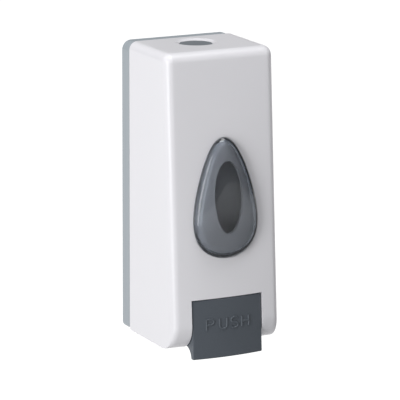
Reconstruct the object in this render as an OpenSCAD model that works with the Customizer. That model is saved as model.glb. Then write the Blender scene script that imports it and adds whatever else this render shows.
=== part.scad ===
// Wall mounted soap dispenser with a hinged cover, a push lever and a lift pump.
// Design frame: X across, Y towards the wall, Z up. The wall face is the plane Y = 0.
// Sizes below are heights above the cover's lower edge. in_row_frame() puts the
// origin at the middle of the wall face.

/* [Housing] */
// Width of the cover and the back plate
body_w = 80; // [78:1:84]
// Height of the cover
body_h = 200; // [198:1:206]
// Depth from the wall to the front at the top edge
depth_top = 67; // [66:0.5:70]
// Depth from the wall to the front at the lower edge
depth_bottom = 80; // [79:0.5:84]
// Depth of the back plate, up to the parting line
plate_d = 11; // [10.5:0.5:11.5]
// Wall thickness of the cover
wall = 2.2; // [1.8:0.1:2.4]
// Rounding along the side edges of the cover
edge_r = 5.8; // [5:0.1:6]
// Rounding between the top and the front
top_r = 7; // [6.6:0.2:8]
// Rounding between the front and the underside
lower_r = 17; // [14:1:20]
// How far the front swells forward across its width, at its foot
front_bulge = 2.2; // [1.5:0.1:2.6]
// How far the back plate's top stays below the cover's top
plate_step = 0.8; // [0.5:0.1:1.2]

/* [Window] */
// Height of the drop shaped lens
lens_h = 81; // [76:1:84]
// Half width of the lens at its middle height
lens_w = 21.7; // [20:0.1:23]
// How much wider the lens is below than above
lens_taper = 8.6; // [7:0.1:9]
// How full the drop is towards its two ends
lens_round = 3.4; // [3:0.1:4]
// Height of the lens centre
lens_z = 102; // [100:1:104]
// How far the lens stands out from the cover at its crown
lens_crown = 9.5; // [9:0.5:10]

/* [Push lever] */
// Width of the slot in the cover
slot_w = 53; // [50:1:54]
// Height of the slot's upper edge
slot_h = 35; // [34:0.5:36]
// How far the lever reaches below the cover
lever_drop = 5.7; // [4:0.1:7]
// Bulge of the lever's face across its width
lever_bulge = 2; // [1.5:0.1:2.4]

/* [Reservoir] */
// Width of the tank
tank_w = 66; // [60:1:68]
// Depth of the tank
tank_d = 50; // [46:1:51]
// Height of the tank's top
tank_top = 141; // [135:1:142]
// Wall thickness of the tank
tank_wall = 1.6; // [1.2:0.1:2]

/* [Mounting] */
// Distance between the screw holes across
screw_x = 44; // [40:1:48]
// Distance between the screw holes up and down
screw_z = 130; // [120:1:136]
// Radius of the screw holes
screw_r = 2.4; // [2:0.1:2.6]

/* [Hidden] */

half_w = body_w / 2;
plate_h = body_h - plate_step;
lean = atan((depth_bottom - depth_top) / body_h);   // the front leans out towards its foot
plate_base = 3;
plate_wall = 2.4;
plate_corners = [3.5, 6.5];   // at the foot and at the top
gap = 0.3;

// Cover hinge, at the foot of the parting line
hinge_r = 2.8;
hinge_pin_r = 1.25;
hinge_y = -plate_d - gap - hinge_r;
hinge_z = hinge_r;
lug_x = [28.4, 32.4];
knuckle_x = [32.8, 37];

// Push lever and its pin
pivot_y = -70.5;
pivot_z = slot_h + 3.5;
pivot_r = 1.5;
knuckle_r = 3.3;
lever_w = slot_w - 1.2;
lever_t = 2.4;
arm_x = [12.6, 16.6];
pad_r = 2.5;

// Pump stack, from the tank down
pump_y = -38;
tank_back = -13;
tank_z = 48;
neck_r = 11;
neck_bore = 8.2;
neck_z = 38;
gasket_t = 1.6;
pump_flange_t = 2;
pump_flange_z = neck_z - gasket_t - pump_flange_t;
collar_r = 15;
collar_z = 32.2;
chamber_r = 6.2;
chamber_foot = 26.5;
chamber_top = 39;
ball_r = 2.4;
seat_z = 46.5;
guide_z = 24.5;
lift_z = 14.55;            // underside of the spout's lift flange
lift_t = 2;
lift_r = 17.5;
stem_r = 4;
pad_z = lift_z - 0.15 - pad_r;

// Filler opening in the tank's top
filler_y = -42;
filler_r = 9;
filler_rim = 2.5;
cap_z = tank_top + filler_rim + 0.1;
cap_t = 2;
cap_hinge_y = filler_y + 12.8;
cap_hinge_z = cap_z + 1;

// Release button in the cover's top
button_y = -31;
button_r = 10.9;
button_top = body_h - 1.1;
button_lip = 192;          // underside of the guide ring
catch_z = 181.5;           // underside of the catch on the back plate
bridge_z = 185;

$fn = 48;

module in_row_frame() translate([0, 0, -plate_h / 2]) children();

function front_y(z) = -depth_bottom + (depth_bottom - depth_top) * z / body_h;

// Local Z points straight out of the front, local Y runs up it
module on_front(z) translate([0, front_y(z), z]) rotate([90 - lean, 0, 0]) children();

module rounded_rect(w, h, r) {
    square([w - 2 * r, h], center = true);
    square([w, h - 2 * r], center = true);
    for (x = [-1, 1], y = [-1, 1])
        translate([x * (w / 2 - r), y * (h / 2 - r)]) circle(r);
}

// A block between two corners
module block(low, high) translate(low) cube([high[0] - low[0], high[1] - low[1], high[2] - low[2]]);

// A rod along X between two places
module rod_x(x0, x1, y, z, r) translate([x0, y, z]) rotate([0, 90, 0]) cylinder(h = x1 - x0, r = r);

// A disc or tube standing on z0
module disc(z0, z1, r, y = 0, x = 0) translate([x, y, z0]) cylinder(h = z1 - z0, r = r);

// A coil of round wire, closed at both ends
coil_sides = 8;
coil_steps = 14;
function coil_point(r, wire, z0, z1, turns, i, k) =
    let (n = turns * coil_steps, a = 360 * i / coil_steps, b = 360 * k / coil_sides,
         rise = z0 + wire + (z1 - z0 - 2 * wire) * i / n)
    [(r + wire * cos(b)) * cos(a), (r + wire * cos(b)) * sin(a), rise + wire * sin(b)];
module coil(r, wire, z0, z1, turns) {
    n = turns * coil_steps;
    points = [for (i = [0:n], k = [0:coil_sides - 1]) coil_point(r, wire, z0, z1, turns, i, k)];
    walls = [for (i = [0:n - 1], k = [0:coil_sides - 1])
        let (m = (k + 1) % coil_sides, a = i * coil_sides, b = a + coil_sides)
        each [[a + k, a + m, b + m], [a + k, b + m, b + k]]];
    ends = [[for (k = [coil_sides - 1:-1:0]) k], [for (k = [0:coil_sides - 1]) n * coil_sides + k]];
    polyhedron(points, concat(walls, ends), convexity = 6);
}

// ---- Back plate: a shallow tray with the tank shelf, the hinge lugs and the latch catch

module screw_places()
    for (x = [-1, 1], z = [-1, 1])
        translate([x * screw_x / 2, 0, plate_h / 2 + z * screw_z / 2]) rotate([90, 0, 0]) children();

module plate_outline(inset) {
    w = body_w - 2 * inset;
    h = plate_h - 2 * inset;
    foot_r = plate_corners[0] - inset;
    head_r = plate_corners[1] - inset;
    intersection() {
        rounded_rect(w, h, foot_r);
        translate([0, -h / 2]) square([w + 1, h], center = true);
    }
    intersection() {
        rounded_rect(w, h, head_r);
        translate([0, h / 2]) square([w + 1, h], center = true);
    }
}

module tray() {
    translate([0, 0, plate_h / 2]) rotate([90, 0, 0]) difference() {
        linear_extrude(plate_d) plate_outline(0);
        translate([0, 0, plate_base]) linear_extrude(plate_d) plate_outline(plate_wall);
    }
}

module tank_shelf() {
    difference() {
        union() {
            block([-tank_w / 2, -50, tank_z - 2.4], [tank_w / 2, -plate_base, tank_z - 0.1]);
            for (x = [-29, 27]) translate([x, 0, 0]) rotate([90, 0, 90])
                linear_extrude(2) polygon([[-plate_base, 20], [-plate_base, tank_z - 1], [-46, tank_z - 1]]);
        }
        disc(tank_z - 5, tank_z + 5, collar_r + 1, pump_y);
        block([-collar_r - 1, -60, tank_z - 5], [collar_r + 1, pump_y, tank_z + 5]);
    }
}

module latch_catch() {
    block([-8, -19, catch_z + 2], [8, -plate_base, catch_z + 4]);
    block([-8, -19, catch_z], [8, -16.6, catch_z + 3]);
}

module back_plate() color("#aab0b6") in_row_frame() difference() {
    union() {
        tray();
        tank_shelf();
        latch_catch();
        screw_places() cylinder(h = 5, r = 6);
        for (x = [-21, 19]) block([x, tank_back + 0.3, 66], [x + 2, -plate_base, 136]);
        for (s = [-1, 1]) {
            x0 = s > 0 ? lug_x[0] : -lug_x[1];
            rod_x(x0, x0 + lug_x[1] - lug_x[0], hinge_y, hinge_z, hinge_r);
            block([x0, hinge_y, 0.6], [x0 + 4, -plate_base, hinge_z + hinge_r]);
        }
    }
    screw_places() translate([0, 0, -1]) cylinder(h = 9, r = screw_r);
    for (s = [-1, 1]) rod_x(s * 30 - 8, s * 30 + 8, hinge_y, hinge_z, hinge_pin_r + 0.05);
}

module hinge_pins() color("silver") in_row_frame()
    for (x = [28.6, -36.8]) rod_x(x, x + 8.2, hinge_y, hinge_z, hinge_pin_r);

// ---- Reservoir, with its neck below and its filler rim above

module reservoir() color([0.85, 0.88, 0.9, 0.5]) in_row_frame() difference() {
    mid_y = tank_back - tank_d / 2;
    union() {
        translate([0, mid_y, tank_z]) linear_extrude(tank_top - tank_z) rounded_rect(tank_w, tank_d, 6);
        disc(neck_z, tank_z + 1, neck_r, pump_y);
        disc(tank_top - 1, tank_top + filler_rim, filler_r + 2, filler_y);
        for (s = [-1, 1]) {
            x0 = s > 0 ? 5.2 : -8.2;
            block([x0, cap_hinge_y - 2.2, tank_top - 1], [x0 + 3, cap_hinge_y + 2.2, cap_hinge_z]);
            rod_x(x0, x0 + 3, cap_hinge_y, cap_hinge_z, 2.2);
        }
    }
    translate([0, mid_y, tank_z + tank_wall]) linear_extrude(tank_top - tank_z - 2 * tank_wall)
        rounded_rect(tank_w - 2 * tank_wall, tank_d - 2 * tank_wall, 6 - tank_wall);
    disc(neck_z - 1, tank_z + 3, neck_bore, pump_y);
    disc(tank_top - 3, tank_top + 9, filler_r, filler_y);
    rod_x(-9, 9, cap_hinge_y, cap_hinge_z, 1.05);
}

module filler_pin() color("white") in_row_frame() rod_x(-8.2, 8.2, cap_hinge_y, cap_hinge_z, 1);

// The flap, its plug and its hinge tongue
module filler_cap() color("#f2f2f0") in_row_frame() difference() {
    union() {
        disc(cap_z, cap_z + cap_t, filler_r + 2, filler_y);
        disc(cap_z - 3, cap_z + 0.5, filler_r - 1, filler_y);
        block([-4.8, filler_y + 6, cap_z], [4.8, cap_hinge_y, cap_z + cap_t]);
        rod_x(-4.8, 4.8, cap_hinge_y, cap_hinge_z, 1.8);
        block([-5, filler_y - filler_r - 3.2, cap_z + 0.4], [5, filler_y - filler_r, cap_z + cap_t - 0.2]);
    }
    disc(cap_z - 4, cap_z - 0.2, filler_r - 2.4, filler_y);
    rod_x(-6, 6, cap_hinge_y, cap_hinge_z, 1.05);
}

module filler_seal() color("#d8dadc") in_row_frame() translate([0, filler_y, cap_z - 1.8])
    difference() {
        cylinder(h = 1, r = filler_r - 0.2);
        translate([0, 0, -1]) cylinder(h = 3, r = filler_r - 1);
    }

// ---- Pump: a lift pump hung in the tank's neck

module neck_gasket() color("#c9ccd0") in_row_frame() difference() {
    disc(neck_z - gasket_t, neck_z, neck_r - 0.2, pump_y);
    disc(neck_z - 5, neck_z + 5, neck_bore, pump_y);
}

module collar_nut() color("#e8e9ea") in_row_frame() difference() {
    union() {
        disc(collar_z, tank_z - 3, collar_r - 0.8, pump_y);
        for (a = [0:15:345]) translate([0, pump_y, collar_z + 1]) rotate(a)
            translate([collar_r - 1.2, -0.7, 0]) cube([1.1, 1.4, tank_z - 5 - collar_z]);
    }
    disc(pump_flange_z, tank_z, neck_r + 0.25, pump_y);
    disc(collar_z - 1, tank_z, 8.4, pump_y);
}

module pump_body() color("#f0f0ee") in_row_frame() difference() {
    union() {
        disc(chamber_foot, pump_flange_z + 1, 8, pump_y);
        disc(pump_flange_z, pump_flange_z + pump_flange_t, neck_r, pump_y);
        disc(pump_flange_z + 1, seat_z, 7.9, pump_y);
    }
    disc(chamber_foot - 1, chamber_top, chamber_r, pump_y);
    disc(chamber_top - 1, seat_z, 1.5, pump_y);
    disc(chamber_top + 1, seat_z + 1, ball_r + 0.6, pump_y);
}

module inlet_seat() color("#f0f0ee") in_row_frame() difference() {
    disc(seat_z, seat_z + 1.5, 7.9, pump_y);
    disc(seat_z - 1, seat_z + 3, 1.6, pump_y);
}

ball_z = seat_z - sqrt(ball_r * ball_r - 1.6 * 1.6) - 0.05;
module inlet_ball() color("silver") in_row_frame() translate([0, pump_y, ball_z]) sphere(ball_r);

module inlet_spring() color("silver") in_row_frame() translate([0, pump_y, 0])
    coil(1.9, 0.2, chamber_top + 1.05, ball_z - 1.75, 3);

module guide_cap() color("#e8e9ea") in_row_frame() difference() {
    disc(guide_z, guide_z + 5.5, 9.3, pump_y);
    disc(chamber_foot, guide_z + 9, 8.05, pump_y);
    disc(guide_z - 1, guide_z + 9, stem_r + 0.05, pump_y);
}

module piston_spring() color("silver") in_row_frame() translate([0, pump_y, 0])
    coil(11.6, 0.65, lift_z + lift_t, collar_z, 5);

// Head and hollow stem
module piston() color("#f6f6f4") in_row_frame() difference() {
    union() {
        disc(6, 28, stem_r, pump_y);
        disc(27.4, 31, 5.5, pump_y);
    }
    disc(4, 33, 2, pump_y);
}

module piston_seal() color("#3c4044") in_row_frame() difference() {
    disc(28.2, 30.4, chamber_r - 0.05, pump_y);
    disc(27, 33, 5.5, pump_y);
}

// Lift flange and nozzle, pressed on the stem's foot
module spout() color("#f0f0ee") in_row_frame() difference() {
    union() {
        disc(lift_z, lift_z + lift_t, lift_r, pump_y);
        disc(lift_z - 1, lift_z + lift_t + 0.2, 6.4, pump_y);
        translate([0, pump_y, -4]) cylinder(h = lift_z + 4, r1 = 4.6, r2 = 6.4, $fn = 64);
    }
    disc(6, 25, stem_r, pump_y);
    disc(-6, 8, 3, pump_y);
}

module drip_valve() color("#c9ccd0") in_row_frame() difference() {
    union() {
        disc(0, 6, 3, pump_y);
        translate([0, pump_y, -3]) cylinder(h = 3.2, r1 = 1.2, r2 = 2.4, $fn = 48);
    }
    disc(1, 8, 1.8, pump_y);
}

// ---- Cover: a leaning rounded shell, open at the back and below

// One upright slice of its form at x; side is how far the slice lies inside the side edges
module cover_slice(x, side, swell, back, foot) {
    top_c = [front_y(body_h - top_r) + top_r / cos(lean), body_h - top_r];
    low_z = lower_r + foot - side;
    low_c = [front_y(low_z) + lower_r / cos(lean) - swell, low_z];
    translate([x - 0.005, 0, 0]) rotate([90, 0, 90]) linear_extrude(0.01) {
        translate(top_c) circle(top_r - side, $fn = 28);
        translate(low_c) circle(lower_r - side, $fn = 36);
        translate([back - 1, foot]) square([1, body_h - foot - side]);
    }
}

// Its whole form, shrunk evenly by inset
module cover_form(inset, back, foot) {
    r = edge_r - inset;
    flat = half_w - edge_r;
    hull() {
        for (s = [-1, 1], a = [0:22.5:90])
            cover_slice(s * (flat + r * sin(a)), inset + r * (1 - cos(a)), 0, back, foot);
        for (u = [-0.75:0.25:0.75])
            cover_slice(u * flat, inset, front_bulge * (1 - u * u), back, foot);
    }
}

// Drop outline, h is its height and grow widens it all round
drop_steps = 40;
function drop(grow) = [for (i = [0:drop_steps - 1])
    let (u = cos(360 * i / drop_steps), s = sin(360 * i / drop_steps))
    [s * (lens_w - lens_taper * u + lens_round * u * u + grow), (lens_h / 2 + grow) * u]];

// A crowned drop: rim at height low, crown at height high
lens_seat = 0.2;
dome_steps = 5;
module drop_dome(grow, low, high) hull() {
    linear_extrude(low + 0.01) polygon(drop(grow));
    for (i = [1:dome_steps]) {
        a = 90 * i / dome_steps;
        size = cos(a) * 0.86 + 0.14;
        translate([0, 0, low + (high - low) * sin(a)]) scale([size, size, 1])
            linear_extrude(0.01) polygon(drop(grow));
    }
}

module slot_cut() {
    block([-slot_w / 2, -100, -10], [slot_w / 2, -plate_d + 5, slot_h]);
    block([-knuckle_x[0], hinge_y - hinge_r - 1, -10], [knuckle_x[0], 0, hinge_z + hinge_r + 1]);
}

module front_cover() color("#f1f2f4") in_row_frame() difference() {
    union() {
        difference() {
            cover_form(0, -plate_d - gap, 0);
            cover_form(wall, -plate_d + 5, wall);
            slot_cut();
        }
        for (s = [-1, 1]) {
            x0 = s > 0 ? knuckle_x[0] : -knuckle_x[1];
            rod_x(x0, x0 + 4.2, hinge_y, hinge_z, hinge_r);
            block([s > 0 ? 36 : -38.5, hinge_y - 2.8, 1], [s > 0 ? 38.5 : -36, hinge_y + 2, 5]);
            ear_x = s > 0 ? 22.4 : -25.6;
            block([ear_x, pivot_y - 6.6, slot_h], [ear_x + 3.2, pivot_y, pivot_z + 3]);
            rod_x(ear_x, ear_x + 3.2, pivot_y, pivot_z, 3);
            disc(bridge_z, body_h - wall + 0.5, 3, button_y, s * 17);
        }
        disc(button_lip, body_h - wall + 0.5, button_r + 2.2, button_y);
    }
    on_front(lens_z) translate([0, 0, -6]) linear_extrude(12) polygon(drop(-2.2));
    on_front(lens_z) translate([0, 0, lens_seat]) linear_extrude(4) polygon(drop(0.15));
    translate([0, button_y, body_h - 1.1]) cylinder(h = 1.11, r1 = button_r + 0.3, r2 = 14);
    disc(button_lip - 1, body_h - 1, button_r + 0.3, button_y);
    for (s = [-1, 1]) {
        rod_x(s > 0 ? 28 : -37.2, s > 0 ? 37.2 : -28, hinge_y, hinge_z, hinge_pin_r + 0.05);
        disc(bridge_z - 1, bridge_z + 7, 1, button_y, s * 17);
    }
    rod_x(-26.4, 26.4, pivot_y, pivot_z, pivot_r + 0.05);
    difference() {
        block([-half_w - 1, -plate_d - hinge_r - gap, -1], [half_w + 1, -plate_d + 2, hinge_z]);
        rod_x(-half_w - 2, half_w + 2, hinge_y, hinge_z, hinge_r);
    }
}

// The white collar behind the lens, with the oval sight opening
oval_w = 10.3;
oval_h = 24.4;
module window_surround() color("#e6e8ea") in_row_frame() on_front(lens_z) difference() {
    union() {
        drop_dome(-2.5, 1.2, lens_crown - 1.9);
        translate([0, 0, -3.2]) linear_extrude(3.3) polygon(drop(-2.5));
    }
    translate([0, 0, -1]) drop_dome(-4.2, 1, lens_crown - 2.5);
    translate([0, 0, -5]) linear_extrude(5) polygon(drop(-4.2));
    translate([0, 1, -6]) scale([oval_w / oval_h, 1, 1]) cylinder(h = 20, r = oval_h, $fn = 64);
}

module window_lens() color([0.25, 0.28, 0.31, 0.6]) in_row_frame() on_front(lens_z) difference() {
    translate([0, 0, lens_seat]) drop_dome(0, 2.3, lens_crown - lens_seat);
    translate([0, 0, lens_seat - 0.1]) drop_dome(-2.3, 1.4, lens_crown - lens_seat - 1.5);
}

// ---- Push lever: face plate, flanks, hinge knuckles and the two lifting arms

module lever_side() {
    foot_y = front_y(-lever_drop);
    lip = 3.4;
    difference() {
        polygon([[front_y(slot_h) - 3, slot_h - 0.5], [foot_y - 3, -lever_drop],
                 [foot_y + lip, -lever_drop], [foot_y + lip, 0.8], [foot_y + 16, 3],
                 [foot_y + 16, 16], [pivot_y + 2, slot_h - 0.5]]);
        translate([foot_y + lip + 8, -lever_drop - 0.6]) circle(8);
    }
}

module lever_arm() {
    polygon([[-74, 6], [-74, 15], [-62, 14.6], [-54, 13.2], [pump_y, pad_z + 1.2],
             [pump_y, pad_z - pad_r], [-56, 6]]);
}

module push_lever() color("#525960") in_row_frame() difference() {
    union() {
        intersection() {
            translate([-lever_w / 2, 0, 0]) rotate([90, 0, 90]) linear_extrude(lever_w) lever_side();
            bulge_r = (lever_w * lever_w / 4 + lever_bulge * lever_bulge) / (2 * lever_bulge);
            on_front(0) translate([0, 0, lever_bulge]) rotate([-90, 0, 0]) translate([0, bulge_r, -60])
                cylinder(h = 120, r = bulge_r, $fn = 200);
        }
        for (s = [-1, 1]) {
            x0 = s > 0 ? 14 : -22;
            rod_x(x0, x0 + 8, pivot_y, pivot_z, knuckle_r);
            block([x0, pivot_y - 2.2, slot_h - 9], [x0 + 8, pivot_y + 2.2, pivot_z]);
            ax = s > 0 ? arm_x[0] : -arm_x[1];
            translate([ax, 0, 0]) rotate([90, 0, 90]) linear_extrude(arm_x[1] - arm_x[0]) lever_arm();
            rod_x(ax, ax + 4, pump_y, pad_z, pad_r);
        }
    }
    // hollow behind the face, between the flanks
    difference() {
        rotate([90, 0, 90]) translate([0, 0, -lever_w / 2 + 2]) linear_extrude(lever_w - 4)
            polygon([[front_y(slot_h) + 5, slot_h - 3], [front_y(4) + 5, 2.4], [-50, 2.4], [-50, 16],
                     [pivot_y + 4, slot_h - 3]]);
        for (s = [-1, 1]) {
            ax = s > 0 ? arm_x[0] : -arm_x[1];
            block([ax, -90, 5], [ax + 4, -30, 15.2]);
            x0 = s > 0 ? 14 : -22;
            block([x0, pivot_y - 2.2, slot_h - 9], [x0 + 8, pivot_y + 2.2, pivot_z]);
            rod_x(x0, x0 + 8, pivot_y, pivot_z, knuckle_r);
        }
    }
    rod_x(-30, 30, pivot_y, pivot_z, pivot_r + 0.05);
}

module lever_pin() color("silver") in_row_frame() rod_x(-25.8, 25.8, pivot_y, pivot_z, pivot_r);

// ---- Release button with its hook, its spring and the bridge that holds the spring

module release_button() color("#9ea3a8") in_row_frame() {
    difference() {
        union() {
            disc(190.4, button_top, button_r, button_y);
            disc(190.4, button_lip - 0.1, button_r + 1.6, button_y);
        }
        disc(188, button_top - 2, 7.4, button_y);
    }
    block([-5, -21.6, catch_z - 4], [5, -19.4, 191]);
    block([-5, -21.6, catch_z - 4], [5, -13.6, catch_z - 2]);
    block([-5, -15.8, catch_z - 4], [5, -13.6, catch_z - 0.3]);
}

module button_spring() color("silver") in_row_frame() translate([0, button_y, 0])
    coil(5.6, 0.45, bridge_z, button_top - 2, 4);

module spring_bridge() color("#d9dadb") in_row_frame() difference() {
    union() {
        block([-17, button_y - 4, bridge_z - 2], [17, button_y + 4, bridge_z]);
        for (s = [-1, 1]) disc(bridge_z - 2, bridge_z, 4, button_y, s * 17);
        disc(bridge_z - 2, bridge_z + 2.5, 4.6, button_y);
    }
    for (s = [-1, 1]) disc(bridge_z - 3, bridge_z + 1, 1.4, button_y, s * 17);
}

module bridge_screws() color("silver") in_row_frame() for (s = [-1, 1]) {
    disc(bridge_z - 3.6, bridge_z - 2, 2.6, button_y, s * 17);
    disc(bridge_z - 2.1, bridge_z + 5, 0.95, button_y, s * 17);
}

back_plate();
hinge_pins();
reservoir();
neck_gasket();
collar_nut();
pump_body();
inlet_seat();
inlet_spring();
inlet_ball();
guide_cap();
piston_spring();
piston();
piston_seal();
spout();
drip_valve();
filler_cap();
filler_seal();
filler_pin();
front_cover();
window_surround();
window_lens();
lever_pin();
push_lever();
release_button();
button_spring();
spring_bridge();
bridge_screws();
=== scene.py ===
import math
import bpy
import bmesh
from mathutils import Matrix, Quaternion, Vector


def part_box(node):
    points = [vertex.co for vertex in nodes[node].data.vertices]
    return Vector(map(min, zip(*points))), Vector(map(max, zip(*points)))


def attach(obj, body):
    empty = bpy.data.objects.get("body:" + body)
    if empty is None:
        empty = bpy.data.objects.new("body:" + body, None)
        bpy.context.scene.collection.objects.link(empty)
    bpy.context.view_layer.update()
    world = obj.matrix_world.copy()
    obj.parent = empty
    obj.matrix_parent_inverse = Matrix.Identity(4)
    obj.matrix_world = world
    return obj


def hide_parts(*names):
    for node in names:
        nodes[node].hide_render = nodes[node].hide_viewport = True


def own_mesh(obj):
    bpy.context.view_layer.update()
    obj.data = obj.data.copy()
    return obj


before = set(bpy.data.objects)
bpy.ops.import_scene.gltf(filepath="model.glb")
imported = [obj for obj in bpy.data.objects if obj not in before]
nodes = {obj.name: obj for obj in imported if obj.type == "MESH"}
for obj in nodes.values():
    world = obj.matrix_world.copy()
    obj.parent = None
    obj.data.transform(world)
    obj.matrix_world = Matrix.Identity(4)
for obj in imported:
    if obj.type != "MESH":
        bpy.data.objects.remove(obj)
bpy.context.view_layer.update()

# ---- Camera: to the left of the dispenser and a little above it, with a long lens.
dispenser_middle = Vector((0.0003, -0.0373, -0.0071))
camera_data = bpy.data.cameras.new("camera")
camera_data.lens = 270.2
camera_data.clip_start, camera_data.clip_end = 0.1, 60
camera = bpy.data.objects.new("camera", camera_data)
bpy.context.collection.objects.link(camera)
camera.location = (-0.8877, -1.8007, 0.4585)
camera.rotation_mode = "QUATERNION"
camera_turn = (dispenser_middle - camera.location).to_track_quat("-Z", "Y")
camera.rotation_quaternion = camera_turn @ Quaternion((0, 0, 1), math.radians(0.2))
bpy.context.scene.camera = camera
bpy.context.scene.view_settings.view_transform = "Standard"


# ---- Studio: a pale floor well below the dispenser, glowing more behind it than in front, a
# dim pale room, a tall softbox on the left, a square one overhead and a weak one in front.
def new_material(name):
    """An empty material with its shader nodes and its links."""
    material = bpy.data.materials.new(name)
    material.use_nodes = True
    return material, material.node_tree.nodes, material.node_tree.links


bpy.ops.mesh.primitive_plane_add(size=30, location=(0, 0, -0.7))
floor = bpy.context.object
floor.name = "floor"
floor_paint, paint_nodes, paint_links = new_material("floor_paint")
floor_shader = paint_nodes["Principled BSDF"]
floor_shader.inputs["Base Color"].default_value = (0.5, 0.5, 0.5, 1)
floor_shader.inputs["Roughness"].default_value = 0.9
floor_shader.inputs["Specular IOR Level"].default_value = 0
floor_shader.inputs["Emission Color"].default_value = (1, 1, 1, 1)
floor_point = paint_nodes.new("ShaderNodeTexCoord").outputs["Object"]


def floor_glow(distance, near, far, dim, bright):
    """The floor's glow, rising from dim to bright as distance grows from near to far."""
    glow = paint_nodes.new("ShaderNodeMapRange")
    glow.inputs["From Min"].default_value, glow.inputs["From Max"].default_value = near, far
    glow.inputs["To Min"].default_value, glow.inputs["To Max"].default_value = dim, bright
    paint_links.new(distance, glow.inputs["Value"])
    return glow.outputs["Result"]


floor_axes = paint_nodes.new("ShaderNodeSeparateXYZ")
paint_links.new(floor_point, floor_axes.inputs["Vector"])
floor_reach = paint_nodes.new("ShaderNodeVectorMath")
floor_reach.operation = "LENGTH"
paint_links.new(floor_point, floor_reach.inputs[0])
brighter_glow = paint_nodes.new("ShaderNodeMath")
brighter_glow.operation = "MAXIMUM"
paint_links.new(floor_glow(floor_axes.outputs["Y"], 0, 1.3, 0.16, 1), brighter_glow.inputs[0])
paint_links.new(floor_glow(floor_reach.outputs["Value"], 1.8, 4.5, 0.16, 0.5), brighter_glow.inputs[1])
paint_links.new(brighter_glow.outputs["Value"], floor_shader.inputs["Emission Strength"])
floor.data.materials.append(floor_paint)

room = bpy.data.worlds.new("room")
room.use_nodes = True
room.node_tree.nodes["Background"].inputs["Color"].default_value = (1, 1, 1, 1)
room.node_tree.nodes["Background"].inputs["Strength"].default_value = 0.15
bpy.context.scene.world = room


def softbox(name, place, width, height, power):
    """A rectangular softbox that faces the dispenser."""
    light_data = bpy.data.lights.new(name, "AREA")
    light_data.shape = "RECTANGLE"
    light_data.size, light_data.size_y = width, height
    light_data.energy = power
    light = bpy.data.objects.new(name, light_data)
    bpy.context.collection.objects.link(light)
    light.location = place
    light.rotation_mode = "QUATERNION"
    light.rotation_quaternion = (Vector((0, -0.04, 0)) - light.location).to_track_quat("-Z", "Y")


softbox("left_softbox", (-1.47, -0.80, 0.3), 0.8, 1.4, 20)
softbox("top_softbox", (0.1, -0.2, 1.6), 1.0, 1.0, 18)
softbox("front_softbox", (-0.3, -1.1, 1.15), 1.6, 1.0, 1.4)


# ---- Back plate: a shallow tray in satin grey ABS with the tank shelf, the latch catch and
# the hinge lugs moulded on. Four screws through its floor hold it to the wall.
def moulded_plastic(name, colour, other_colour, rough, grain):
    """Moulded plastic: faint drifts of colour, uneven gloss and a fine spark texture."""
    material, parts, links = new_material(name)
    shader = parts["Principled BSDF"]
    place = parts.new("ShaderNodeTexCoord").outputs["Object"]
    drift = parts.new("ShaderNodeTexNoise")
    drift.inputs["Scale"].default_value = 28
    drift.inputs["Detail"].default_value = 3
    links.new(place, drift.inputs["Vector"])
    tint = parts.new("ShaderNodeMix")
    tint.data_type = "RGBA"
    tint.inputs["A"].default_value = (*colour, 1)
    tint.inputs["B"].default_value = (*other_colour, 1)
    links.new(drift.outputs["Fac"], tint.inputs["Factor"])
    links.new(tint.outputs["Result"], shader.inputs["Base Color"])
    gloss = parts.new("ShaderNodeMapRange")
    gloss.inputs["To Min"].default_value = rough - 0.05
    gloss.inputs["To Max"].default_value = rough + 0.07
    links.new(drift.outputs["Fac"], gloss.inputs["Value"])
    links.new(gloss.outputs["Result"], shader.inputs["Roughness"])
    spark = parts.new("ShaderNodeTexNoise")
    spark.inputs["Scale"].default_value = 2600
    spark.inputs["Detail"].default_value = 2
    links.new(place, spark.inputs["Vector"])
    relief = parts.new("ShaderNodeBump")
    relief.inputs["Strength"].default_value = grain
    relief.inputs["Distance"].default_value = 0.00005
    links.new(spark.outputs["Fac"], relief.inputs["Height"])
    links.new(relief.outputs["Normal"], shader.inputs["Normal"])
    shader.inputs["IOR"].default_value = 1.5
    return material


def dress(node_name, material, edge=0.0):
    """Gives a CAD node its finish, soft normals and, with edge, eased corners."""
    node = nodes[node_name]
    node.data.materials.clear()
    node.data.materials.append(material)
    if edge:
        ease = node.modifiers.new("eased corners", "BEVEL")
        ease.width, ease.segments, ease.angle_limit = edge, 2, math.radians(50)
        ease.limit_method = "ANGLE"
    smooth = node.modifiers.new("soft normals", "WEIGHTED_NORMAL")
    smooth.keep_sharp = True
    node.data.shade_smooth()
    node.data.set_sharp_from_angle(angle=math.radians(32))


grey_abs = moulded_plastic("grey_abs", (0.345, 0.385, 0.42), (0.375, 0.415, 0.45), 0.42, 0.25)
dress("back_plate", grey_abs)


# ---- Hinge pins: two stubs of drawn stainless wire that join the cover to the plate's lugs.
def drawn_steel(name, rough):
    """Drawn wire: bright, with fine lengthwise scratches."""
    material, parts, links = new_material(name)
    shader = parts["Principled BSDF"]
    shader.inputs["Base Color"].default_value = (0.62, 0.61, 0.59, 1)
    shader.inputs["Metallic"].default_value = 1
    place = parts.new("ShaderNodeTexCoord").outputs["Object"]
    scratch = parts.new("ShaderNodeTexNoise")
    scratch.inputs["Scale"].default_value = 1500
    scratch.inputs["Detail"].default_value = 4
    links.new(place, scratch.inputs["Vector"])
    gloss = parts.new("ShaderNodeMapRange")
    gloss.inputs["To Min"].default_value = rough - 0.08
    gloss.inputs["To Max"].default_value = rough + 0.12
    links.new(scratch.outputs["Fac"], gloss.inputs["Value"])
    links.new(gloss.outputs["Result"], shader.inputs["Roughness"])
    relief = parts.new("ShaderNodeBump")
    relief.inputs["Strength"].default_value = 0.15
    relief.inputs["Distance"].default_value = 0.00003
    links.new(scratch.outputs["Fac"], relief.inputs["Height"])
    links.new(relief.outputs["Normal"], shader.inputs["Normal"])
    return material


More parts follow.
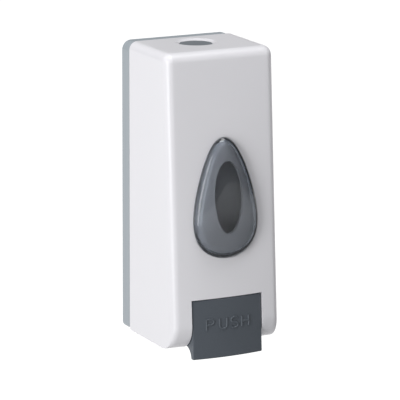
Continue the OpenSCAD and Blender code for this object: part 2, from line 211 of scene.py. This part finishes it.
steel_wire = drawn_steel("steel_wire", 0.26)
dress("hinge_pins", steel_wire)

# ---- Reservoir: a blown tank in milky translucent polyethylene, with a threaded neck below
# and a filler rim above. It stands on the plate's shelf and lifts out.
milky_pe, pe_nodes, pe_links = new_material("milky_polyethylene")
pe_shader = pe_nodes["Principled BSDF"]
pe_shader.inputs["Base Color"].default_value = (0.76, 0.77, 0.79, 1)
pe_shader.inputs["Transmission Weight"].default_value = 0.3
pe_shader.inputs["IOR"].default_value = 1.3
pe_ripple = pe_nodes.new("ShaderNodeTexNoise")
pe_ripple.inputs["Scale"].default_value = 60
pe_links.new(pe_nodes.new("ShaderNodeTexCoord").outputs["Object"], pe_ripple.inputs["Vector"])
pe_gloss = pe_nodes.new("ShaderNodeMapRange")
pe_gloss.inputs["To Min"].default_value = 0.38
pe_gloss.inputs["To Max"].default_value = 0.55
pe_links.new(pe_ripple.outputs["Fac"], pe_gloss.inputs["Value"])
pe_links.new(pe_gloss.outputs["Result"], pe_shader.inputs["Roughness"])
pe_relief = pe_nodes.new("ShaderNodeBump")
pe_relief.inputs["Strength"].default_value = 0.15
pe_relief.inputs["Distance"].default_value = 0.0004
pe_links.new(pe_ripple.outputs["Fac"], pe_relief.inputs["Height"])
pe_links.new(pe_relief.outputs["Normal"], pe_shader.inputs["Normal"])
dress("reservoir", milky_pe)

# ---- Pump mouldings: body, valve seat, guide cap, collar nut, piston and spout in natural
# polypropylene. The collar nut clamps them under the tank's neck.
natural_pp = moulded_plastic("natural_polypropylene", (0.74, 0.74, 0.71), (0.79, 0.79, 0.77), 0.36, 0.15)
for moulding in ("collar_nut", "pump_body", "inlet_seat", "guide_cap", "piston", "spout"):
    dress(moulding, natural_pp)

# ---- Tank flap and spring bridge: the hinged flap over the filler rim with its pin, and the
# small plate that carries the release button's spring, in the same natural polypropylene.
for moulding in ("filler_cap", "filler_pin", "spring_bridge"):
    dress(moulding, natural_pp)

# ---- Seals: a silicone neck gasket, duckbill drip valve and flap seal, and a black nitrile
# cup seal on the piston. The nut clamps the gasket, and the others are pressed into place.
silicone = moulded_plastic("grey_silicone", (0.5, 0.52, 0.54), (0.56, 0.58, 0.6), 0.5, 0.1)
nitrile = moulded_plastic("black_nitrile", (0.018, 0.018, 0.02), (0.028, 0.028, 0.03), 0.55, 0.3)
for seal in ("neck_gasket", "drip_valve", "filler_seal"):
    dress(seal, silicone)
dress("piston_seal", nitrile)

# ---- Small steel parts: the ball of the inlet valve, the two screws below the button and the
# pin that the push lever hangs on, all in the same bright steel.
for steel_part in ("inlet_ball", "bridge_screws", "lever_pin"):
    dress(steel_part, steel_wire)


# ---- Springs: wound from round stainless wire. One returns the piston, one the release
# button and a small one lifts the inlet ball.
def finish_mesh(name, mesh, angle=30):
    """Turns a bmesh into an object with soft normals that breaks only at real edges."""
    data = bpy.data.meshes.new(name)
    mesh.to_mesh(data)
    mesh.free()
    thing = bpy.data.objects.new(name, data)
    bpy.context.collection.objects.link(thing)
    data.shade_smooth()
    data.set_sharp_from_angle(angle=math.radians(angle))
    return thing


def wound_spring(node_name, wire, turns, body):
    """A coil that fills its node's box."""
    low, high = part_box(node_name)
    coil = (high.x - low.x) / 2 - wire
    middle = ((low.x + high.x) / 2, low.y + coil + wire)
    sides, steps = 12, 28
    mesh = bmesh.new()
    rings = []
    for k in range(turns * steps + 1):
        turn = 2 * math.pi * k / steps
        height = low.z + wire + (high.z - low.z - 2 * wire) * k / (turns * steps)
        ring = []
        for j in range(sides):
            around = 2 * math.pi * j / sides
            reach = coil + wire * math.cos(around)
            ring.append(mesh.verts.new((middle[0] + reach * math.cos(turn),
                                        middle[1] + reach * math.sin(turn),
                                        height + wire * math.sin(around))))
        rings.append(ring)
    for ring, following in zip(rings, rings[1:]):
        for j in range(sides):
            mesh.faces.new((ring[j], ring[(j + 1) % sides], following[(j + 1) % sides], following[j]))
    mesh.faces.new(rings[0][::-1])
    mesh.faces.new(rings[-1])
    bmesh.ops.recalc_face_normals(mesh, faces=mesh.faces)
    spring = finish_mesh(node_name + "_wire", mesh, 60)
    spring.data.materials.append(steel_wire)
    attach(spring, body)
    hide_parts(node_name)
    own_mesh(spring)


wound_spring("piston_spring", 0.00065, 5, "tank")
wound_spring("button_spring", 0.00045, 4, "cover")
wound_spring("inlet_spring", 0.0002, 3, "tank")


# ---- Front cover: one moulding in glossy white ABS, 2.2 mm thick, open at the back and
# cut away below for the push lever. It turns on the two stub pins at its foot. Heights count
# from its lower edge.
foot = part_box("front_cover")[0].z
cover_height = 0.2
cover_half = 0.04
parting_y = -0.0113
wall_thick = 0.0022
corner_radius = 0.0058
top_radius, lower_radius = 0.007, 0.017
front_y, front_setback, front_swell = -0.08, 0.013, 0.0022
lean = math.atan(front_setback / cover_height)


def front_at(height):
    """Where the leaning front stands at a height."""
    return front_y + front_setback * height / cover_height


def arc(centre, radius, start, end, steps):
    """Points round a centre; the angle turns from straight down towards the front."""
    turns = [start + (end - start) * k / steps for k in range(steps + 1)]
    return [(centre[0] - radius * math.sin(t), centre[1] - radius * math.cos(t)) for t in turns]


def straight(start, end, steps):
    """The points between two ends of a straight stretch, without the ends."""
    return [(start[0] + (end[0] - start[0]) * k / steps, start[1] + (end[1] - start[1]) * k / steps)
            for k in range(1, steps)]


def cover_line(side, swell, back, lower_edge):
    """The outline seen from the side, from the back of the foot round to the back of the top."""
    top_height = cover_height - top_radius
    top_centre = (front_at(top_height) + top_radius / math.cos(lean), top_height)
    low_height = lower_radius + lower_edge - side
    low_centre = (front_at(low_height) + lower_radius / math.cos(lean) - swell, low_height)
    small, large = top_radius - side, lower_radius - side
    run, rise = top_centre[0] - low_centre[0], top_centre[1] - low_centre[1]
    meet = 1.5 * math.pi - math.atan2(rise, run) - math.acos((large - small) / math.hypot(run, rise))
    low_arc = arc(low_centre, large, 0, meet, 20)
    top_arc = arc(top_centre, small, meet, math.pi, 12)
    line = [(back, lower_edge)] + straight((back, lower_edge), low_arc[0], 16) + low_arc
    line += straight(low_arc[-1], top_arc[0], 64) + top_arc
    return line + straight(top_arc[-1], (back, cover_height - side), 16) + [(back, cover_height - side)]


def cover_block(name, inset, back, lower_edge):
    """A closed block in the cover's form, shrunk evenly by inset."""
    corner = corner_radius - inset
    flat = cover_half - corner_radius
    left_corner = []
    for k in range(11):
        turn = math.radians(9 * k)
        left_corner.append((-flat - corner * math.cos(turn), inset + corner * (1 - math.sin(turn)), 0))
    across = [(u * flat / 16, inset, front_swell * (1 - (u / 16) ** 2)) for u in range(-15, 16)]
    slices = left_corner + across + [(-x, side, 0) for x, side, _ in reversed(left_corner)]
    mesh = bmesh.new()
    rows = [[mesh.verts.new((x, y, foot + z)) for y, z in cover_line(side, swell, back, lower_edge)]
            for x, side, swell in slices]
    for row, following in zip(rows, rows[1:]):
        for k in range(len(row) - 1):
            mesh.faces.new((row[k], row[k + 1], following[k + 1], following[k]))
    mesh.faces.new(rows[0][::-1])
    mesh.faces.new(rows[-1])
    mesh.faces.new([row[0] for row in rows] + [row[-1] for row in reversed(rows)])
    bmesh.ops.recalc_face_normals(mesh, faces=mesh.faces)
    return finish_mesh(name, mesh)


def prism(name, outline, start, end, place):
    """A straight sided block: place turns an outline point and a height into a place."""
    mesh = bmesh.new()
    low_ring = [mesh.verts.new(place(a, b, start)) for a, b in outline]
    high_ring = [mesh.verts.new(place(a, b, end)) for a, b in outline]
    for k in range(len(outline)):
        m = (k + 1) % len(outline)
        mesh.faces.new((low_ring[k], low_ring[m], high_ring[m], high_ring[k]))
    mesh.faces.new(low_ring[::-1])
    mesh.faces.new(high_ring)
    bmesh.ops.recalc_face_normals(mesh, faces=mesh.faces)
    return finish_mesh(name, mesh)


def turned(name, profile, x, y, steps=72):
    """A piece turned about an upright axis from a closed profile of radius and height."""
    mesh = bmesh.new()
    rings = []
    for j in range(steps):
        angle = 2 * math.pi * j / steps
        rings.append([mesh.verts.new((x + r * math.cos(angle), y + r * math.sin(angle), foot + z))
                      for r, z in profile])
    for j in range(steps):
        ring, following = rings[j], rings[(j + 1) % steps]
        for k in range(len(profile)):
            m = (k + 1) % len(profile)
            mesh.faces.new((ring[k], ring[m], following[m], following[k]))
    bmesh.ops.remove_doubles(mesh, verts=mesh.verts, dist=1e-7)
    bmesh.ops.recalc_face_normals(mesh, faces=mesh.faces)
    return finish_mesh(name, mesh)


def upright(y, height, x):
    """A point of an outline that is seen from the side, at x across the dispenser."""
    return x, y, foot + height


def lying_rod(name, start, end, y, height, radius, steps=40):
    """A round rod that lies across the dispenser, from start to end."""
    turns = [2 * math.pi * k / steps for k in range(steps)]
    outline = [(y + radius * math.cos(t), height + radius * math.sin(t)) for t in turns]
    return prism(name, outline, start, end, upright)


def brick(name, low, high):
    """A block between two opposite corners."""
    outline = [(low[1], low[2]), (high[1], low[2]), (high[1], high[2]), (low[1], high[2])]
    return prism(name, outline, low[0], high[0], upright)


def on_side(side, start, end):
    """The stretch from start to end beside the middle, on the left for -1 or the right for 1."""
    return sorted((side * start, side * end))


def carve(work, tools, operation):
    """Joins the tools to the work, or cuts them from it, and clears them away."""
    for tool in tools:
        step = work.modifiers.new("carve", "BOOLEAN")
        step.operation, step.object, step.solver = operation, tool, "EXACT"
    seen = work.evaluated_get(bpy.context.evaluated_depsgraph_get())
    data = bpy.data.meshes.new_from_object(seen)
    work.modifiers.clear()
    work.data = data
    for tool in tools:
        bpy.data.objects.remove(tool)


def settle(work):
    """Merges stray points, then gives soft normals that follow the large faces."""
    mesh = bmesh.new()
    mesh.from_mesh(work.data)
    bmesh.ops.remove_doubles(mesh, verts=mesh.verts, dist=2e-6)
    bmesh.ops.dissolve_degenerate(mesh, edges=mesh.edges, dist=2e-6)
    mesh.to_mesh(work.data)
    mesh.free()
    work.data.shade_smooth()
    work.data.set_sharp_from_angle(angle=math.radians(30))
    smooth = work.modifiers.new("soft normals", "WEIGHTED_NORMAL")
    smooth.keep_sharp = True


# The sight window's outline is a drop, 81 mm tall; out_of_front turns a point of its own
# leaning plane, and its height out of that plane, into a place.
drop_height = 0.081
drop_half, drop_taper, drop_round = 0.0217, 0.0086, 0.0034
drop_middle = 0.102


def drop_outline(grow, steps=96):
    """The drop, grown evenly by grow; it is widest below its middle."""
    points = []
    for k in range(steps):
        up, across = math.cos(2 * math.pi * k / steps), math.sin(2 * math.pi * k / steps)
        half = drop_half - drop_taper * up + drop_round * up * up + grow
        points.append((across * half, (drop_height / 2 + grow) * up))
    return points


def out_of_front(across, along, out):
    return (across, front_at(drop_middle) + along * math.sin(lean) - out * math.cos(lean),
            foot + drop_middle + along * math.cos(lean) + out * math.sin(lean))


button_y, button_radius, button_play = -0.031, 0.0109, 0.0003
guide_wall, guide_foot = 0.0022, 0.192
bevel_foot, bevel_radius = 0.199, 0.014
roof_middle = 0.1985
nearly_zero = 0.00001
hinge_y, hinge_height, hinge_radius, hinge_bore = -0.0141, 0.0028, 0.0028, 0.0013
knuckle_start, knuckle_end = 0.0328, 0.037
web_start, web_end = 0.036, 0.0385
pivot_y, pivot_height, pivot_bore = -0.0705, 0.0385, 0.00155
ear_start, ear_end, ear_radius = 0.0224, 0.0256, 0.003
post_x, post_foot, post_radius = 0.017, 0.185, 0.003
slot_half, slot_top = 0.0265, 0.035

cover = cover_block("cover_shell", 0, parting_y, 0)
hollow = cover_block("cover_hollow", wall_thick, -0.006, wall_thick)
carve(cover, [hollow], "DIFFERENCE")
guide_line = [(0.006, guide_foot), (button_radius + guide_wall, guide_foot),
              (button_radius + guide_wall, roof_middle), (0.006, roof_middle)]
post_line = [(nearly_zero, post_foot), (post_radius, post_foot),
             (post_radius, roof_middle), (nearly_zero, roof_middle)]
additions = [turned("button_guide", guide_line, 0, button_y)]
for side in (-1, 1):
    near, far = on_side(side, knuckle_start, knuckle_end)
    additions.append(lying_rod("cover_knuckle", near, far, hinge_y, hinge_height, hinge_radius))
    near, far = on_side(side, web_start, web_end)
    additions.append(brick("knuckle_web", (near, hinge_y - hinge_radius, 0.001),
                           (far, hinge_y + 0.002, 0.005)))
    near, far = on_side(side, ear_start, ear_end)
    additions.append(brick("lever_ear", (near, pivot_y - 0.0066, slot_top - 0.0005),
                           (far, pivot_y, pivot_height + ear_radius)))
    additions.append(lying_rod("ear_end", near, far, pivot_y, pivot_height, ear_radius))
    additions.append(turned("bridge_post", post_line, side * post_x, button_y, 32))
carve(cover, additions, "UNION")

hole_line = [(nearly_zero, 0.18), (button_radius + button_play, 0.18),
             (button_radius + button_play, bevel_foot - 0.00015), (0.01155, bevel_foot),
             (0.0136, 0.1998), (bevel_radius, 0.20005), (bevel_radius, 0.202), (nearly_zero, 0.202)]
below_knuckle = [(-0.004, -0.002), (-0.004, hinge_height)]
for k in range(11):
    turn = math.radians(9 * k)
    below_knuckle.append((hinge_y + hinge_radius * math.cos(turn),
                          hinge_height - hinge_radius * math.sin(turn)))
below_knuckle.append((hinge_y, -0.002))
cutters = [
    brick("slot_cut", (-slot_half, -0.1, -0.01), (slot_half, -0.006, slot_top)),
    brick("lug_cut", (-knuckle_start, hinge_y - 0.0038, -0.01), (knuckle_start, 0, 0.0066)),
    prism("window_cut", drop_outline(-0.0022), -0.006, 0.006, out_of_front),
    prism("lens_seat_cut", drop_outline(0.00012), 0.0002, 0.004, out_of_front),
    turned("button_hole", hole_line, 0, button_y, 96),
    prism("foot_round", below_knuckle, -0.045, 0.045, upright),
]
for side in (-1, 1):
    near, far = on_side(side, 0.028, knuckle_end + 0.0002)
    cutters.append(lying_rod("knuckle_bore", near, far, hinge_y, hinge_height, hinge_bore))
cutters.append(lying_rod("lever_bore", -0.0264, 0.0264, pivot_y, pivot_height, pivot_bore))
carve(cover, cutters, "DIFFERENCE")
settle(cover)
white_abs = moulded_plastic("white_abs", (0.795, 0.79, 0.825), (0.815, 0.81, 0.845), 0.3, 0.12)
white_shader = white_abs.node_tree.nodes["Principled BSDF"]
white_shader.inputs["Coat Weight"].default_value = 0.08
white_shader.inputs["Coat Roughness"].default_value = 0.12
cover.data.materials.append(white_abs)
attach(cover, "cover")
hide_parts("front_cover")


# ---- Window surround: a white ABS collar pushed into the drop opening, domed like the lens,
# with an upright oval sight hole through it.
def domed_drop(name, skins):
    """A closed shell of rings, each a (grow, size, out), from the outer crown to the inner one."""
    mesh = bmesh.new()
    rings = []
    for grow, size, out in skins:
        rings.append([mesh.verts.new(out_of_front(a * size, b * size, out)) for a, b in drop_outline(grow)])
    for ring, following in zip(rings, rings[1:]):
        for k in range(len(ring)):
            m = (k + 1) % len(ring)
            mesh.faces.new((ring[k], ring[m], following[m], following[k]))
    for ring in (rings[0], rings[-1]):
        centre = sum((v.co for v in ring), Vector()) / len(ring)
        crown = mesh.verts.new(centre)
        for k in range(len(ring)):
            mesh.faces.new((ring[k], ring[(k + 1) % len(ring)], crown))
    bmesh.ops.recalc_face_normals(mesh, faces=mesh.faces)
    return finish_mesh(name, mesh, 35)


def dome_skin(grow, rim, crown, steps=20):
    """Rings over a dome, from its crown down to its rim."""
    rings = []
    for k in range(steps + 1):
        size = (k + 0.6) / (steps + 0.6)
        past_flat = max(0.0, (size - 0.14) / 0.86)
        out = rim + (crown - rim) * math.sqrt(max(0.0, 1 - past_flat ** 2))
        rings.append((grow, size, out))
    return rings


lens_crown = 0.0095
collar_crown, collar_hollow = lens_crown - 0.0019, lens_crown - 0.0041
collar_outside, collar_inside, collar_foot = -0.0025, -0.0042, -0.0032
oval_half, oval_tall, oval_middle = 0.0103, 0.0244, 0.001
collar_rings = dome_skin(collar_outside, 0.0012, collar_crown)
collar_rings += [(collar_outside, 1, collar_foot), (collar_inside, 1, collar_foot)]
collar_rings += dome_skin(collar_inside, 0, collar_hollow)[::-1]
collar = domed_drop("sight_collar", collar_rings)
oval_turns = [2 * math.pi * k / 80 for k in range(80)]
oval = [(oval_half * math.cos(t), oval_middle + oval_tall * math.sin(t)) for t in oval_turns]
carve(collar, [prism("oval_cut", oval, -0.006, 0.014, out_of_front)], "DIFFERENCE")
settle(collar)
collar.data.materials.append(white_abs)
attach(collar, "cover")
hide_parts("window_surround")

# ---- Window lens: a domed drop of polished smoked polycarbonate, 1 mm thick, with a deeper
# rim. It is seated in the cover and covers the collar.
lens_wall, lens_rim, lens_foot = 0.001, 0.0023, 0.00022
lens_rings = dome_skin(0, lens_rim, lens_crown, 28)
lens_rings += [(-0.00002 * k * k, 1, lens_rim - 0.0019 * k / 4) for k in range(1, 4)]
lens_rings += [(-0.0003, 1, lens_foot), (-0.0021, 1, lens_foot)]
lens_rings += dome_skin(-0.0023, 0.0017, lens_crown - lens_wall, 28)[::-1]
lens = domed_drop("smoked_lens", lens_rings)
smoked, smoked_parts, smoked_links = new_material("smoked_polycarbonate")
smoked_shader = smoked_parts["Principled BSDF"]
smoked_shader.inputs["Base Color"].default_value = (0.96, 0.97, 0.98, 1)
smoked_shader.inputs["IOR"].default_value = 1.5
smoked_shader.inputs["Transmission Weight"].default_value = 1
lens_haze = smoked_parts.new("ShaderNodeTexNoise")
lens_haze.inputs["Scale"].default_value = 90
smoked_links.new(smoked_parts.new("ShaderNodeTexCoord").outputs["Object"], lens_haze.inputs["Vector"])
lens_gloss = smoked_parts.new("ShaderNodeMapRange")
lens_gloss.inputs["To Min"].default_value = 0.0
lens_gloss.inputs["To Max"].default_value = 0.03
smoked_links.new(lens_haze.outputs["Fac"], lens_gloss.inputs["Value"])
smoked_links.new(lens_gloss.outputs["Result"], smoked_shader.inputs["Roughness"])
smoke = smoked_parts.new("ShaderNodeVolumeAbsorption")
smoke.inputs["Color"].default_value = (0.49, 0.53, 0.575, 1)
smoke.inputs["Density"].default_value = 490
smoked_links.new(smoke.outputs["Volume"], smoked_parts["Material Output"].inputs["Volume"])
lens.data.materials.append(smoked)
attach(lens, "cover")
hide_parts("window_lens")

# ---- Push lever: slate grey ABS with a gently bowed face, hung from a steel pin inside the
# cover. Two arms reach back under the spout's flange and lift it when the face is pushed.
lever_half, lever_foot, lever_head = 0.0259, -0.0057, 0.0345
lever_bow = 0.002
lip_y = front_at(lever_foot) + 0.0034
flank_y = front_at(lever_foot) + 0.016
flank_curve = 0.008


def lever_side(bow):
    """The lever's outline seen from the side, bowed forward by bow; its foot is a thin lip."""
    foot_y = front_at(lever_foot) - bow
    outline = [(lip_y, lever_foot)]
    for k in range(11):
        turn = math.radians(85 - 8.2 * k)
        height = lever_foot - 0.0006 + flank_curve * math.cos(turn)
        if height > lever_foot + 0.0003:
            outline.append((lip_y + flank_curve * (1 - math.sin(turn)), height))
    outline += [(flank_y, 0.003), (flank_y, 0.016), (pivot_y + 0.002, lever_head)]
    outline.append((front_at(lever_head) - bow + 0.0006, lever_head))
    for height in (lever_head - 0.0006, 0.024, 0.016, 0.008, 0, lever_foot + 0.0008):
        outline.append((front_at(height) - bow, height))
    return outline + [(foot_y + 0.0002, lever_foot + 0.00025), (foot_y + 0.0008, lever_foot)]


mesh = bmesh.new()
lever_rows = []
for k in range(-24, 25):
    share = k / 24
    outline = lever_side(lever_bow * (1 - share * share))
    lever_rows.append([mesh.verts.new((share * lever_half, y, foot + z)) for y, z in outline])
for row, following in zip(lever_rows, lever_rows[1:]):
    for k in range(len(row)):
        m = (k + 1) % len(row)
        mesh.faces.new((row[k], row[m], following[m], following[k]))
mesh.faces.new(lever_rows[0][::-1])
mesh.faces.new(lever_rows[-1])
bmesh.ops.recalc_face_normals(mesh, faces=mesh.faces)
lever = finish_mesh("push_lever_moulding", mesh)
ease = lever.modifiers.new("eased corners", "BEVEL")
ease.width, ease.segments, ease.limit_method, ease.angle_limit = 0.0005, 3, "ANGLE", math.radians(50)

hollow_line = [(front_at(lever_head) + 0.005, 0.0315), (front_at(0.004) + 0.005, 0.0024), (-0.05, 0.0024),
               (-0.05, 0.016), (pivot_y + 0.004, 0.0315)]
hollow_half = lever_half - 0.002
carve(lever, [prism("lever_inside", hollow_line, -hollow_half, hollow_half, upright)], "DIFFERENCE")
pad_y, pad_height, pad_radius = -0.038, 0.0119, 0.0025
arm_line = [(-0.0745, 0.006), (-0.0745, 0.015), (-0.062, 0.0146), (-0.054, 0.0132), (pad_y, 0.0131),
            (-0.0363, 0.013), (-0.0355, pad_height), (-0.0363, 0.01), (pad_y, 0.0094), (-0.056, 0.006)]
arm_start, arm_end = 0.0126, 0.0166
lug_start, lug_end, lug_radius = 0.014, 0.022, 0.0033
lever_parts = []
for side in (-1, 1):
    near, far = on_side(side, arm_start, arm_end)
    lever_parts.append(prism("lift_arm", arm_line, near, far, upright))
    lever_parts.append(lying_rod("arm_pad", near, far, pad_y, pad_height, pad_radius))
    near, far = on_side(side, lug_start, lug_end)
    lever_parts.append(lying_rod("lever_knuckle", near, far, pivot_y, pivot_height, lug_radius))
    lever_parts.append(brick("knuckle_neck", (near, pivot_y - 0.0022, 0.026),
                             (far, pivot_y + 0.0022, pivot_height)))
carve(lever, lever_parts, "UNION")
carve(lever, [lying_rod("lever_pin_bore", -0.03, 0.03, pivot_y, pivot_height, pivot_bore)], "DIFFERENCE")
settle(lever)
slate_abs = moulded_plastic("slate_abs", (0.080, 0.094, 0.113), (0.090, 0.104, 0.123), 0.48, 0.3)
lever.data.materials.append(slate_abs)
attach(lever, "lever")
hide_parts("push_lever")


# ---- The raised word on the lever: plain round strokes, half sunk in the face and moulded
# with it. They follow the bow of the face.
def letter_strokes(letter):
    """Strokes of a plain letter in a box 0.6 wide and 1 tall."""
    def bend(across, up, half_wide, half_tall, start, end, count=10):
        turns = [math.radians(start + (end - start) * k / count) for k in range(count + 1)]
        return [(across + half_wide * math.cos(t), up + half_tall * math.sin(t)) for t in turns]
    if letter == "P":
        return [[(0, 0), (0, 1)], [(0, 1), (0.3, 1)] + bend(0.3, 0.74, 0.3, 0.26, 90, -90) + [(0, 0.48)]]
    if letter == "U":
        return [[(0, 1), (0, 0.3)] + bend(0.3, 0.3, 0.3, 0.3, 180, 360) + [(0.6, 1)]]
    if letter == "S":
        return [bend(0.3, 0.745, 0.28, 0.255, 25, 270, 14) + bend(0.3, 0.245, 0.3, 0.245, 90, -155, 14)]
    return [[(0, 0), (0, 1)], [(0.6, 0), (0.6, 1)], [(0, 0.5), (0.6, 0.5)]]


stroke_data = bpy.data.curves.new("raised_strokes", "CURVE")
stroke_data.dimensions = "3D"
stroke_data.bevel_depth = 0.0007
stroke_data.bevel_resolution = 4
stroke_data.use_fill_caps = True
letter_tall, letter_wide, letter_foot = 0.0072, 0.0054, 0.0139
for letter, left in zip("PUSH", (-0.0160, -0.0065, 0.0019, 0.0102)):
    for stroke in letter_strokes(letter):
        spline = stroke_data.splines.new("POLY")
        spline.points.add(len(stroke) - 1)
        for point, (a, b) in zip(spline.points, stroke):
            x, height = left + a / 0.6 * letter_wide, letter_foot + b * letter_tall
            bow = lever_bow * (1 - (x / lever_half) ** 2)
            point.co = (x, front_at(height) - bow, foot + height, 1)
strokes = bpy.data.objects.new("raised_strokes", stroke_data)
bpy.context.collection.objects.link(strokes)
word = bpy.data.objects.new("raised_word", bpy.data.meshes.new_from_object(
    strokes.evaluated_get(bpy.context.evaluated_depsgraph_get())))
bpy.data.objects.remove(strokes)
bpy.context.collection.objects.link(word)
word.data.shade_smooth()
word.data.materials.clear()
word.data.materials.append(slate_abs)
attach(word, "lever")

# ---- Release button: a round satin grey ABS cap in the cover's top, darker than the plate,
# with a hook below it that catches on the back plate.
button_grey = moulded_plastic("button_grey", (0.165, 0.184, 0.204), (0.18, 0.199, 0.219), 0.5, 0.25)
dress("release_button", button_grey, edge=0.0003)
